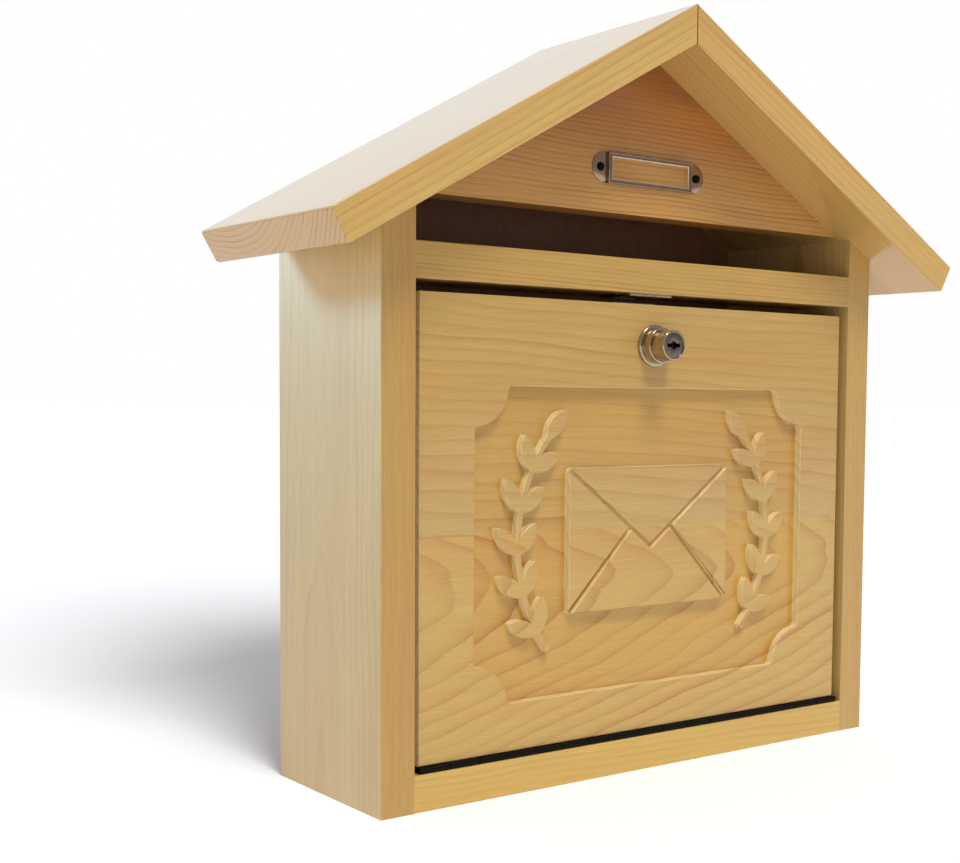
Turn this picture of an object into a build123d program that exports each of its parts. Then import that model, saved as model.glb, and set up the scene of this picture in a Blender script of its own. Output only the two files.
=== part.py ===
from build123d import *
import os
from math import cos, radians, sin, tan

# A wooden mailbox: a case of pine boards under a gable roof, with a letter slot,
# a card holder and a door that folds down on a long hinge and is held by a lock.
# Millimetres. X runs to the viewer's right, Y to the back and Z up.
# The origin lies under the middle of the base.

# Case
width = 365.0  # over the side panels
depth = 113.0  # side panels, front edge to rear edge
board = 20.0  # sides and bottom board
gable_board = 20.0
eased = 0.8  # rounding of the long edges

# Front, from the bottom board upwards
door_height = 247.6
door_top_gap = 6.0
rail_height = 19.4
slot_height = 25.7

# Middle rail
rail_depth = 45.0

# Roof and gable
pitch = 30.0  # degrees
roof_board = 19.0
eave_overhang = 44.5  # level, beyond the side panels
front_overhang = 30.8
eave_round = 1.6
gable_set_in = 4.0  # lower corners, in from the side panels
gable_setback = 9.4  # face, behind the front edges

# Back panel
back_board = 4.0
back_margin = 3.0  # edge, in from the case's outline
wall_hole_radius = 2.5
wall_spacing_x = 220.0
wall_spacing_z = 180.0
wall_hole_low = 70.0  # lower pair, above the base
back_screw = (3.0, 1.5, 16.0)  # head radius, shank radius, length
back_screw_row_count = 3
back_screw_span = 250.0
back_screw_low = 40.0
back_screw_bottom_count = 3
back_screw_bottom_span = 220.0

# Dowels
dowel_radius = 4.0
dowel_length = 30.0
dowel_in_side = 12.0
slim_dowel_radius = 3.0
slim_dowel_length = 20.0
bottom_dowel_span = 64.0
rail_dowel_span = 22.0
roof_dowel_span = 70.0
roof_dowel_shift = 2.0
gable_dowel_places = (55.0, 115.0)
ridge_dowel_count = 3
ridge_dowel_span = 100.0
door_dowel_count = 3
door_dowel_span = 220.0
door_dowel_length = 36.0

# Door
door_side_gap = 4.5
door_board = 18.0
door_recess = 3.0  # face, behind the front edges
door_eased = 0.8
seam_height = 119.5  # glue seam, above the door's lower edge

# Routed panel in the door
panel_margin_side = 34.0
panel_margin_bottom = 26.6
panel_margin_top = 48.0
panel_depth = 4.8
panel_corner = 22.0  # radius of the uncut quarter discs
panel_corner_round = 3.0

# Raised envelope in the middle of the panel
envelope_width = 120.0
envelope_height = 82.0
envelope_round = 3.0
flap_drop = 46.0  # tip of the flap, below the envelope's top
fold_meeting = 0.25  # where the lower folds meet the flap, as a share of the half width
fold_width = 3.0
fold_depth = 2.4

# Raised sprigs on both sides of it
sprig_radius = 95.0
sprig_reach = 39.0  # degrees above and below the middle
stem_width = 3.2
leaf_length = 21.0
leaf_half_width = 4.6
leaf_pair_count = 5
leaf_angle = 38.0  # degrees off the stem

# Door stops
stop_width = 10.0
stop_thickness = 12.0
stop_length = 190.0
stop_low = 40.0  # lower end, above the base
stop_gap = 0.3
stop_pin = (1.5, 0.8, 20.0)  # head radius, shank radius, length
stop_pin_head = 0.4
stop_pin_span = 130.0

# Hinge
knuckle_radius = 1.7
leaf_thickness = 0.7
leaf_width = 14.5
hinge_margin = 3.5  # end of the hinge, in from the side panels
knuckle_count = 17
knuckle_gap = 0.4
hinge_pin_radius = 0.9
hinge_pin_room = 0.05
hinge_leaf_clear = 0.3  # from a leaf's edge to the other leaf's knuckles
hinge_screw = (2.0, 1.1, 10.0)  # head radius, shank radius, length
hinge_screw_count = 6
hinge_screw_span = 280.0
hinge_screw_set = 9.0  # behind the hinge axis

# Lock: the cylinder in the door and the rings round it
lock_drop = 23.6  # axis, below the door's upper edge
nose = 18.0  # how far the lock stands out of the door
cylinder_radius = 8.6
cylinder_hole_room = 0.3
rosette_radius = 12.2
rosette_height = 2.3
rosette_bevel = 1.2
collar_radius = 10.25
collar_length = 6.0
collar_chamfer = 0.6
collar_room = 0.05
nose_round = 0.6
plug_radius = 6.5
plug_head_radius = 7.3
plug_head_length = 3.0
plug_set_in = 0.5
plug_room = 0.05
tail_size = 5.0
keyway_width = 9.6
keyway_height = 2.2
keyway_depth = 24.0
keyway_dimple_radius = 2.3
keyway_dimple_depth = 3.0

# Lock: wafers in the plug
wafer_count = 5
wafer_pitch = 2.6
wafer_start = 6.5  # first wafer, behind the nose
wafer_thickness = 0.6
wafer_width = 11.0
wafer_height = 6.0
wafer_window_width = 9.0
wafer_window_height = 2.6
wafer_room = 0.1

# Lock: case, bolt and driver behind the door
case_width = 32.0
case_depth = 9.5
case_wall = 1.5
case_rise = 1.9  # top of the case, above the door's upper edge
case_low = 26.4  # bottom of the case, below the lock's axis
cover_thickness = 1.5
ear_width = 6.0
ear_low = 20.0
ear_high = 14.0
rivet_radius = 1.5
rivet_head_radius = 2.4
rivet_head_height = 0.8
rivet_inset = 5.0
bolt_travel = 7.5
bolt_thickness = 5.0
bolt_nose_width = 18.0
bolt_body_width = 21.6
bolt_low = 13.0  # lower end at rest, below the lock's axis
bolt_room = 0.3
driver_radius = 7.0
driver_thickness = 2.0
driver_room = 0.4
driver_pin_radius = 1.2
driver_pin_room = 0.25
driver_angle = 45.0  # pin, below the level at rest and above it when locked
lock_screw = (2.7, 1.4, 13.5)  # head radius, shank radius, length
lock_screw_head = 1.7
lock_screw_inset = 5.0

# Strike plate
strike_thickness = 1.2
strike_depth = 30.0
strike_setback = 6.0
strike_slot_room = 0.6
mortise_depth = 6.0
strike_screw = (2.4, 1.3, 12.0)  # head radius, shank radius, length
strike_screw_span = 20.0
strike_screw_set = 8.0

# Card holder
holder_length = 84.0
holder_height = 17.5
holder_sheet = 0.6
holder_rise = 25.0  # centre, above the gable's lower edge
holder_tab = 8.0  # flat tab at each end, up to the raised frame
holder_nail_inset = 5.7  # nail, in from the end of the holder
frame_height = 2.0
frame_bar = 2.7
frame_end_bar = 3.0
frame_chamfer = 0.5
holder_nail = (2.1, 0.9, 12.0)  # head radius, shank radius, length
holder_nail_head = 1.1

# Small working clearances
glue_fit = 0.05  # round a dowel or a screw
end_room = 0.5  # past the end of a dowel

# Shapes shared by the small parts
cross_shape = (1.1, 0.25, 0.5)  # length, width and depth, as shares of the head's radius
point_share = 0.7  # chamfer on a nail's point, as a share of its radius
dowel_chamfer_share = 0.2  # of the dowel's radius
arc_middle = 1 - sin(radians(45))  # inset of a rounding's middle, as a share of its radius

# Places that follow from the sizes
half = width / 2
inner = half - board
front = -depth / 2
rear = depth / 2
back_face = rear + back_board
door_bottom = board + 2 * knuckle_radius
door_top = door_bottom + door_height
rail_bottom = door_top + door_top_gap
rail_top = rail_bottom + rail_height
gable_bottom = rail_top + slot_height
slope = radians(pitch)
soffit_apex = gable_bottom + (inner - gable_set_in) * tan(slope)
roof_half = half + eave_overhang
gable_front = front + gable_setback
gable_back = gable_front + gable_board
door_half = inner - door_side_gap
door_front = front + door_recess
door_back = door_front + door_board
seam = door_bottom + seam_height
panel_half = door_half - panel_margin_side
panel_bottom = door_bottom + panel_margin_bottom
panel_top = door_top - panel_margin_top
panel_middle = (panel_bottom + panel_top) / 2
hinge_y = front + knuckle_radius
hinge_z = board + knuckle_radius
hinge_half = inner - hinge_margin
knuckle_pitch = 2 * hinge_half / knuckle_count
lock_z = door_top - lock_drop
nose_y = door_front - nose
case_top = door_top + case_rise
case_bottom = lock_z - case_low
case_half = case_width / 2
cover_y = door_back + case_depth
driver_y = door_back + case_wall + driver_room
bolt_y = driver_y + driver_thickness + bolt_room
shoulder = case_top - case_wall - bolt_travel - end_room
driver_arm = bolt_travel / (2 * sin(radians(driver_angle)))
driver_pin_x = -driver_arm * cos(radians(driver_angle))
driver_pin_z = lock_z - bolt_travel / 2
strike_front = front + strike_setback
holder_z = gable_bottom + holder_rise
frame_length = holder_length - 2 * holder_tab
holder_nail_span = holder_length - 2 * holder_nail_inset


def soffit(x):
    """Height of the roof's underside at a distance x from the middle."""
    return soffit_apex - abs(x) * tan(slope)


def spread(count, span):
    """Evenly spaced places over a span, centred on 0."""
    return [span * (i / (count - 1) - 0.5) for i in range(count)]


def block(x0, x1, y0, y1, z0, z1):
    """Block between two opposite corners."""
    middle = Pos((x0 + x1) / 2, (y0 + y1) / 2, (z0 + z1) / 2)
    return middle * Box(x1 - x0, y1 - y0, z1 - z0)


def prism(face, y0, y1):
    """Outline in X and Z, carried from y0 back to y1."""
    return extrude(Plane((0, y1, 0), x_dir=(1, 0, 0), z_dir=(0, -1, 0)) * face, y1 - y0)


def polygon(*points):
    """Face inside straight lines through the points."""
    return make_face(Polyline(*points, close=True))


def turned(points):
    """Solid turned about the lock's axis from pairs of radius and y."""
    line = Polyline(*[(r, y) for r, y in points], close=True)
    ring = revolve(make_face(line), Axis.Y)
    return Pos(0, 0, lock_z) * ring


def group(shapes):
    """Separate solids in one node."""
    return Compound([solid for shape in shapes for solid in shape.solids()])


# Fasteners


def wood_screw(head_radius, shank_radius, length):
    """Countersunk screw that points down -Z, its head's face at z = 0."""
    line = Polyline(
        (0, 0),
        (head_radius, 0),
        (shank_radius, shank_radius - head_radius),
        (shank_radius, shank_radius - length),
        (0, -length),
        close=True,
    )
    return revolve(Plane.XZ * make_face(line), Axis.Z)


def cross_slot(head_radius, top=0.0):
    """Cross for the driver, cut into a head's face."""
    slot = Box(*(head_radius * share for share in cross_shape))
    return Pos(0, 0, top) * (slot + Rot(0, 0, 90) * slot)


def flat_screws(planes, size):
    """Countersunk screws, one on each plane."""
    screw = wood_screw(*size) - cross_slot(size[0])
    return group([plane * screw for plane in planes])


def screw_seats(planes, size):
    """Holes for the countersunk screws."""
    head, shank, length = size
    seat = wood_screw(head + glue_fit, shank + glue_fit, length + glue_fit)
    return [plane * seat for plane in planes]


def domed_fastener(size, rise):
    """Screw or nail that points down -Z, with a domed head on z = 0."""
    head, shank, length = size
    dome = (head**2 + rise**2) / (2 * rise)
    cap = Pos(0, 0, rise - dome) * Sphere(dome) & Pos(0, 0, rise / 2) * Cylinder(head, rise)
    tip = Pos(0, 0, -length / 2) * Cylinder(shank, length)
    point = chamfer(tip.faces().sort_by(Axis.Z)[0].edges(), shank * point_share)
    return cap + point


def shank_holes(planes, size):
    """Holes for the shanks of domed fasteners."""
    length = size[2] + glue_fit
    hole = Pos(0, 0, -length / 2) * Cylinder(size[1] + glue_fit, length)
    return [plane * hole for plane in planes]


def dowels(planes, radius, length):
    """Dowels centred on the planes and square to them."""
    peg = Cylinder(radius, length)
    peg = chamfer(peg.edges().filter_by(GeomType.CIRCLE), radius * dowel_chamfer_share)
    return group([plane * peg for plane in planes])


def dowel_holes(planes, radius, length):
    """Holes for the dowels, a little longer than they are."""
    return [plane * Cylinder(radius + glue_fit, length + 2 * end_room) for plane in planes]


# Where the fasteners go


def bottom_dowel_planes():
    """Bottom board to side panels."""
    x = inner + dowel_in_side - dowel_length / 2
    return [
        Plane((side * x, y, board / 2), z_dir=(1, 0, 0))
        for side in (-1, 1)
        for y in spread(2, bottom_dowel_span)
    ]


def rail_dowel_planes():
    """Middle rail to side panels."""
    x = inner + dowel_in_side - dowel_length / 2
    middle = front + rail_depth / 2
    return [
        Plane((side * x, middle + y, rail_bottom + rail_height / 2), z_dir=(1, 0, 0))
        for side in (-1, 1)
        for y in spread(2, rail_dowel_span)
    ]


def slope_plane(x, y):
    """Plane on the roof's underside at x and y, square to the slope."""
    side = 1 if x > 0 else -1
    return Plane((x, y, soffit(x)), x_dir=(0, 1, 0), z_dir=(side * sin(slope), 0, cos(slope)))


def roof_dowel_planes():
    """Roof boards to side panels."""
    x = half - board / 2 + roof_dowel_shift
    return [slope_plane(side * x, y) for side in (-1, 1) for y in spread(2, roof_dowel_span)]


def gable_dowel_planes():
    """Roof boards to the gable panel."""
    y = (gable_front + gable_back) / 2
    return [slope_plane(side * x, y) for side in (-1, 1) for x in gable_dowel_places]


def ridge_dowel_planes():
    """Roof board to roof board, through the mitre at the ridge."""
    middle = (front - front_overhang + back_face) / 2
    z = soffit_apex + (roof_board / cos(slope) - slim_dowel_length / 2 * tan(slope)) / 2
    return [
        Plane((0, middle + y, z), z_dir=(1, 0, 0))
        for y in spread(ridge_dowel_count, ridge_dowel_span)
    ]


def door_dowel_planes():
    """Door board to door board, behind the routed panel."""
    y = (door_front + panel_depth + door_back) / 2
    return [Plane((x, y, seam)) for x in spread(door_dowel_count, door_dowel_span)]


def back_screw_planes():
    """Back panel to side panels and bottom board."""
    x = half - board / 2
    middle = back_screw_low + back_screw_span / 2
    heights = [middle + z for z in spread(back_screw_row_count, back_screw_span)]
    spots = [(side * x, z) for side in (-1, 1) for z in heights]
    spots += [(x, board / 2) for x in spread(back_screw_bottom_count, back_screw_bottom_span)]
    return [Plane((x, back_face, z), z_dir=(0, 1, 0)) for x, z in spots]


def hinge_screw_planes(z, up):
    """Screws of one hinge leaf, heads towards the other leaf."""
    y = hinge_y + hinge_screw_set
    return [Plane((x, y, z), z_dir=(0, 0, up)) for x in spread(hinge_screw_count, hinge_screw_span)]


def lower_hinge_screw_planes():
    return hinge_screw_planes(board + leaf_thickness, 1)


def upper_hinge_screw_planes():
    return hinge_screw_planes(door_bottom - leaf_thickness, -1)


def stop_pin_planes():
    """Panel pins through the door stops into the side panels."""
    y = door_back + stop_gap + stop_thickness / 2
    middle = stop_low + stop_length / 2
    return [
        Plane((side * (inner - stop_width), y, middle + z), z_dir=(-side, 0, 0))
        for side in (-1, 1)
        for z in spread(2, stop_pin_span)
    ]


def lock_screw_planes():
    """Screws through the lock's ears into the door."""
    x = case_half + ear_width / 2
    low = lock_z - ear_low + lock_screw_inset
    high = lock_z + ear_high - lock_screw_inset
    return [
        Plane((side * x, door_back + case_wall, z), z_dir=(0, 1, 0))
        for side in (-1, 1)
        for z in (low, high)
    ]


def rivet_spots():
    """Rivets in the corners of the lock case."""
    x = bolt_body_width / 2 + bolt_room + rivet_radius
    return [
        (side * x, z)
        for side in (-1, 1)
        for z in (case_bottom + rivet_inset, case_top - rivet_inset)
    ]


def strike_screw_planes():
    """Strike plate to the middle rail, heads down."""
    y = strike_front + strike_screw_set
    z = rail_bottom - strike_thickness
    return [Plane((x, y, z), z_dir=(0, 0, -1)) for x in spread(2, strike_screw_span)]


def holder_nail_planes():
    """Card holder to the gable panel."""
    y = gable_front - holder_sheet
    return [Plane((x, y, holder_z), z_dir=(0, -1, 0)) for x in spread(2, holder_nail_span)]


# Case


def side_panel(side):
    """Board with its top bevelled to the roof."""
    panel = prism(
        polygon((inner, 0), (half, 0), (half, soffit(half)), (inner, soffit(inner))), front, rear
    )
    long_edges = panel.edges().filter_by(Axis.Z).group_by(Axis.X)[-1]
    panel = fillet(long_edges, eased)
    if side < 0:
        panel = mirror(panel, Plane.YZ)
    panel -= dowel_holes(bottom_dowel_planes() + rail_dowel_planes(), dowel_radius, dowel_length)
    panel -= dowel_holes(roof_dowel_planes(), slim_dowel_radius, slim_dowel_length)
    panel -= screw_seats(back_screw_planes(), back_screw)
    panel -= shank_holes(stop_pin_planes(), stop_pin)
    return panel


def bottom_board():
    """Board between the side panels, under the hinge."""
    bottom = block(-inner, inner, front, rear, 0, board)
    bottom = fillet(bottom.edges().filter_by(Axis.X).group_by(Axis.Z)[0], eased)
    bottom -= dowel_holes(bottom_dowel_planes(), dowel_radius, dowel_length)
    bottom -= screw_seats(lower_hinge_screw_planes(), hinge_screw)
    bottom -= screw_seats(back_screw_planes(), back_screw)
    return bottom


def middle_rail():
    """Rail over the door, with the mortise for the bolt."""
    rail = block(-inner, inner, front, front + rail_depth, rail_bottom, rail_top)
    rail = fillet(rail.edges().filter_by(Axis.X), eased)
    rail -= dowel_holes(rail_dowel_planes(), dowel_radius, dowel_length)
    rail -= bolt_way(rail_bottom, rail_bottom + mortise_depth)
    rail -= screw_seats(strike_screw_planes(), strike_screw)
    return rail


def gable_panel():
    """Triangular board over the letter slot, its lower edge level."""
    base = inner - gable_set_in
    gable = prism(
        polygon((-base, gable_bottom), (base, gable_bottom), (0, soffit_apex)),
        gable_front,
        gable_back,
    )
    gable -= dowel_holes(gable_dowel_planes(), slim_dowel_radius, slim_dowel_length)
    gable -= shank_holes(holder_nail_planes(), holder_nail)
    return gable


def roof_board_piece(side):
    """Roof board, mitred at the ridge and cut square at the eave."""
    apex = soffit_apex + roof_board / cos(slope)
    eave_z = apex - roof_half * tan(slope)
    face = polygon(
        (0, apex),
        (roof_half, eave_z),
        (roof_half - roof_board * sin(slope), eave_z - roof_board * cos(slope)),
        (0, soffit_apex),
    )
    face = fillet(face.vertices().sort_by(Axis.X)[-2:], eave_round)
    roof = prism(face, front - front_overhang, back_face)
    for end in (0, -1):
        rim = roof.faces().sort_by(Axis.Y)[end].edges()
        roof = fillet(rim.filter_by(lambda edge: edge.center().X > eased), eased)
    if side < 0:
        roof = mirror(roof, Plane.YZ)
    slim = roof_dowel_planes() + gable_dowel_planes() + ridge_dowel_planes()
    roof -= dowel_holes(slim, slim_dowel_radius, slim_dowel_length)
    return roof


def back_panel():
    """Plywood panel planted on the rear edges, up to the roof's underside."""
    edge = half - back_margin
    panel = prism(
        polygon(
            (-edge, back_margin),
            (edge, back_margin),
            (edge, soffit(edge)),
            (0, soffit_apex),
            (-edge, soffit(edge)),
        ),
        rear,
        back_face,
    )
    panel -= screw_seats(back_screw_planes(), back_screw)
    holes = [
        Plane((x, (rear + back_face) / 2, wall_hole_low + z), z_dir=(0, 1, 0))
        * Cylinder(wall_hole_radius, 2 * back_board)
        for x in spread(2, wall_spacing_x)
        for z in (0, wall_spacing_z)
    ]
    return panel - holes


def door_stop(side):
    """Cleat on the side panel, just behind the closed door."""
    y = door_back + stop_gap
    x0, x1 = sorted((side * (inner - stop_width), side * inner))
    stop = block(x0, x1, y, y + stop_thickness, stop_low, stop_low + stop_length)
    return stop - shank_holes(stop_pin_planes(), stop_pin)


def door_stop_pins():
    """Panel pins with small flat heads."""
    head_radius, shank_radius, length = stop_pin
    head = Pos(0, 0, stop_pin_head / 2) * Cylinder(head_radius, stop_pin_head)
    shank = Pos(0, 0, -length / 2) * Cylinder(shank_radius, length)
    return group([plane * (head + shank) for plane in stop_pin_planes()])


# Hinge


def hinge_leaf(lower):
    """Leaf with its share of the knuckles round the pin."""
    if lower:
        z0 = board
    else:
        z0 = door_bottom - leaf_thickness
    back = hinge_y + leaf_width
    clear = hinge_y + knuckle_radius + hinge_leaf_clear
    leaf = block(-hinge_half, hinge_half, clear, back, z0, z0 + leaf_thickness)
    for i in range(0 if lower else 1, knuckle_count, 2):
        x0 = -hinge_half + i * knuckle_pitch + knuckle_gap / 2
        x1 = x0 + knuckle_pitch - knuckle_gap
        leaf += block(x0, x1, hinge_y, clear, z0, z0 + leaf_thickness)
        barrel = Cylinder(knuckle_radius, x1 - x0)
        leaf += Plane(((x0 + x1) / 2, hinge_y, hinge_z), z_dir=(1, 0, 0)) * barrel
    bore = Cylinder(hinge_pin_radius + hinge_pin_room, 2 * inner)
    leaf -= Plane((0, hinge_y, hinge_z), z_dir=(1, 0, 0)) * bore
    planes = lower_hinge_screw_planes() if lower else upper_hinge_screw_planes()
    return leaf - screw_seats(planes, hinge_screw)


def hinge_pin():
    """Wire pin, as long as the hinge."""
    return Plane((0, hinge_y, hinge_z), z_dir=(1, 0, 0)) * Cylinder(hinge_pin_radius, 2 * hinge_half)


# Door


def panel_face():
    """Outline of the routed panel, with the uncut quarter discs in its corners."""
    height = panel_top - panel_bottom
    face = Pos(0, panel_middle) * Rectangle(2 * panel_half, height)
    discs = [
        Pos(x, z) * Circle(panel_corner)
        for x in (-panel_half, panel_half)
        for z in (panel_bottom, panel_top)
    ]
    face -= discs
    return fillet(face.vertices(), panel_corner_round)


def band(start, end, thickness):
    """Straight strip between two points."""
    line = Line(start, end)
    return Pos(*(line @ 0.5)) * Rot(0, 0, line.tangent_angle_at(0)) * Rectangle(line.length, thickness)


def envelope_face():
    """Plain outline of the envelope."""
    return Pos(0, panel_middle) * RectangleRounded(envelope_width, envelope_height, envelope_round)


def envelope_folds():
    """Lines of the envelope's flap and of its lower folds."""
    edge = envelope_width / 2
    top = panel_middle + envelope_height / 2
    bottom = panel_middle - envelope_height / 2
    tip = (0, top - flap_drop)
    folds = []
    for side in (-1, 1):
        meeting = (side * fold_meeting * edge, top - flap_drop * (1 - fold_meeting))
        folds.append(band((side * edge, top), tip, fold_width))
        folds.append(band((side * edge, bottom), meeting, fold_width))
    folds.append(Pos(*tip) * Circle(fold_width / 2))
    return [fold & envelope_face() for fold in folds]


def leaf_face():
    """Leaf between two arcs, from its foot at the origin up to its tip."""
    tip = (0, leaf_length)
    right = ThreePointArc((0, 0), (leaf_half_width, leaf_length / 2), tip)
    left = ThreePointArc(tip, (-leaf_half_width, leaf_length / 2), (0, 0))
    return make_face(right + left)


def sprig_faces(side):
    """Curved stem with pairs of leaves from half a step up it, and one leaf at its end."""
    start = -sprig_reach
    outer_arc = CenterArc((0, 0), sprig_radius + stem_width / 2, start, 2 * sprig_reach)
    inner_arc = CenterArc((0, 0), sprig_radius - stem_width / 2, start, 2 * sprig_reach)
    ends = [Line(outer_arc @ i, inner_arc @ i) for i in (0, 1)]
    faces = [make_face(outer_arc + inner_arc + ends[0] + ends[1])]
    step = 2 * sprig_reach / (leaf_pair_count + 0.5)
    for i in range(leaf_pair_count):
        angle = start + (i + 0.5) * step
        foot = Rot(0, 0, angle) * Pos(sprig_radius, 0)
        faces += [foot * Rot(0, 0, turn) * leaf_face() for turn in (-leaf_angle, leaf_angle)]
    faces.append(Rot(0, 0, sprig_reach) * Pos(sprig_radius, -stem_width) * leaf_face())
    place = Pos(0, panel_middle)
    if side < 0:
        return [place * mirror(face, Plane.YZ) for face in faces]
    return [place * face for face in faces]


def routed_panel():
    """What the router takes out of the door's face."""
    floor = door_front + panel_depth
    raised = [envelope_face()] + sprig_faces(-1) + sprig_faces(1)
    cut = prism(panel_face(), door_front, floor)
    cut -= [prism(face, door_front, floor) for face in raised]
    folds = [prism(face, door_front, door_front + fold_depth) for face in envelope_folds()]
    return [cut] + folds


def door_board_piece(z0, z1):
    """One of the door's two boards, with its share of the panel and the holes."""
    piece = block(-door_half, door_half, door_front, door_back, z0, z1)
    outer = piece.faces().sort_by(Axis.Y)[0].edges()
    outer = outer.filter_by(lambda edge: abs(edge.center().Z - seam) > door_eased)
    piece = fillet(outer, door_eased)
    piece -= routed_panel()
    piece -= dowel_holes(door_dowel_planes(), slim_dowel_radius, door_dowel_length)
    return piece


def door_board_upper():
    """Upper board, with the hole and screw holes of the lock."""
    piece = door_board_piece(seam, door_top)
    middle = (door_front + door_back) / 2
    bore = Cylinder(cylinder_radius + cylinder_hole_room, 2 * door_board)
    piece -= Plane((0, middle, lock_z), z_dir=(0, 1, 0)) * bore
    return piece - shank_holes(lock_screw_planes(), lock_screw)


def door_board_lower():
    """Lower board, on the hinge."""
    return door_board_piece(door_bottom, seam) - screw_seats(upper_hinge_screw_planes(), hinge_screw)


# Lock


def lock_rosette():
    """Bevelled ring on the door's face."""
    top = door_front - rosette_height
    bore = cylinder_radius + collar_room
    inset = rosette_bevel * arc_middle
    return turned(
        [
            (bore, door_front),
            (rosette_radius, door_front),
            (rosette_radius, top + rosette_bevel),
            (rosette_radius - inset, top + inset),
            (rosette_radius - rosette_bevel, top),
            (bore, top),
        ]
    )


def lock_collar():
    """Ring that clamps the rosette."""
    back = door_front - rosette_height
    tip = back - collar_length
    bore = cylinder_radius + collar_room
    return turned(
        [
            (bore, back),
            (collar_radius, back),
            (collar_radius, tip + collar_chamfer),
            (collar_radius - collar_chamfer, tip),
            (bore, tip),
        ]
    )


def lock_cylinder():
    """Cylinder, bored for the plug, its spigot riveted into the floor of the case."""
    bore = plug_radius + plug_room
    head_bore = plug_head_radius + plug_room
    spigot = (bore + cylinder_radius) / 2
    seat = nose_y + plug_set_in + plug_head_length + 2 * plug_room
    inset = nose_round * arc_middle
    return turned(
        [
            (head_bore, nose_y),
            (cylinder_radius - nose_round, nose_y),
            (cylinder_radius - inset, nose_y + inset),
            (cylinder_radius, nose_y + nose_round),
            (cylinder_radius, door_back),
            (spigot, door_back),
            (spigot, door_back + case_wall),
            (bore, door_back + case_wall),
            (bore, seat),
            (head_bore, seat),
        ]
    )


def wafer_places():
    """Where the wafers stand along the plug."""
    return [nose_y + wafer_start + i * wafer_pitch for i in range(wafer_count)]


def lock_plug():
    """Plug with its head, keyway, wafer slots and square tail."""
    face = nose_y + plug_set_in
    shoulder_y = face + plug_head_length
    end = driver_y - plug_room
    plug = turned(
        [
            (0, face),
            (plug_head_radius, face),
            (plug_head_radius, shoulder_y),
            (plug_radius, shoulder_y),
            (plug_radius, end),
            (0, end),
        ]
    )
    tail = tail_size / 2
    plug += block(-tail, tail, end, driver_y + driver_thickness, lock_z - tail, lock_z + tail)
    half_key = keyway_height / 2
    half_slot = keyway_width / 2
    plug -= block(
        -half_slot, half_slot, face, face + keyway_depth, lock_z - half_key, lock_z + half_key
    )
    dimple = Cylinder(keyway_dimple_radius, 2 * keyway_dimple_depth)
    plug -= Plane((0, face, lock_z), z_dir=(0, 1, 0)) * dimple
    reach = plug_head_radius
    low = lock_z - wafer_height / 2 - wafer_room
    high = lock_z + wafer_height / 2 + wafer_room
    half_gap = wafer_thickness / 2 + wafer_room
    for y in wafer_places():
        plug -= block(-reach, reach, y - half_gap, y + half_gap, low, high)
    return plug


def lock_wafers():
    """Brass wafers, each with a window for the key."""
    plate = Box(wafer_width, wafer_thickness, wafer_height)
    plate -= Box(wafer_window_width, 2 * wafer_thickness, wafer_window_height)
    return group([Pos(0, y, lock_z) * plate for y in wafer_places()])


def lock_driver():
    """Disc on the plug's tail, with the pin that lifts the bolt."""
    disc = Plane((0, driver_y + driver_thickness / 2, lock_z), z_dir=(0, 1, 0)) * Cylinder(
        driver_radius, driver_thickness
    )
    hole = tail_size / 2 + plug_room
    disc -= block(
        -hole, hole, driver_y, driver_y + driver_thickness, lock_z - hole, lock_z + hole
    )
    start = driver_y + driver_thickness
    end = bolt_y + bolt_thickness - bolt_room
    pin = Cylinder(driver_pin_radius, end - start)
    return disc + Plane((driver_pin_x, (start + end) / 2, driver_pin_z), z_dir=(0, 1, 0)) * pin


def lock_bolt():
    """Bolt with shoulders and a level slot for the driver's pin."""
    nose_half = bolt_nose_width / 2
    body_half = bolt_body_width / 2
    back = bolt_y + bolt_thickness
    bolt = block(-body_half, body_half, bolt_y, back, lock_z - bolt_low, shoulder)
    bolt += block(-nose_half, nose_half, bolt_y, back, shoulder, case_top)
    slot_radius = driver_pin_radius + driver_pin_room
    sweep_length = driver_arm + driver_pin_x
    slot = SlotCenterToCenter(sweep_length, 2 * slot_radius)
    middle = (driver_pin_x - driver_arm) / 2
    return bolt - prism(Pos(middle, driver_pin_z) * slot, bolt_y, back)


def lock_case():
    """Open case with two ears, fast to the cylinder."""
    low, high = case_bottom, case_top
    case = block(-case_half, case_half, door_back, cover_y, low, high)
    inside = case_half - case_wall
    case -= block(
        -inside, inside, door_back + case_wall, cover_y, low + case_wall, high - case_wall
    )
    ear = case_half + ear_width
    case += block(-ear, ear, door_back, door_back + case_wall, lock_z - ear_low, lock_z + ear_high)
    bore = (plug_radius + plug_room + cylinder_radius) / 2 + collar_room
    case -= Plane((0, door_back + case_wall / 2, lock_z), z_dir=(0, 1, 0)) * Cylinder(bore, case_wall)
    mouth = bolt_nose_width / 2 + bolt_room
    case -= block(-mouth, mouth, bolt_y - bolt_room, cover_y, high - case_wall, high)
    case -= rivet_holes()
    return case - shank_holes(lock_screw_planes(), lock_screw)


def lock_cover():
    """Plate that closes the case."""
    cover = block(
        -case_half, case_half, cover_y, cover_y + cover_thickness, case_bottom, case_top
    )
    return cover - rivet_holes()


def rivet_holes():
    """Holes for the rivets through case and cover."""
    end = cover_y + cover_thickness
    hole = Cylinder(rivet_radius + glue_fit, end - door_back)
    middle = (door_back + end) / 2
    return [Plane((x, middle, z), z_dir=(0, 1, 0)) * hole for x, z in rivet_spots()]


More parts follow.
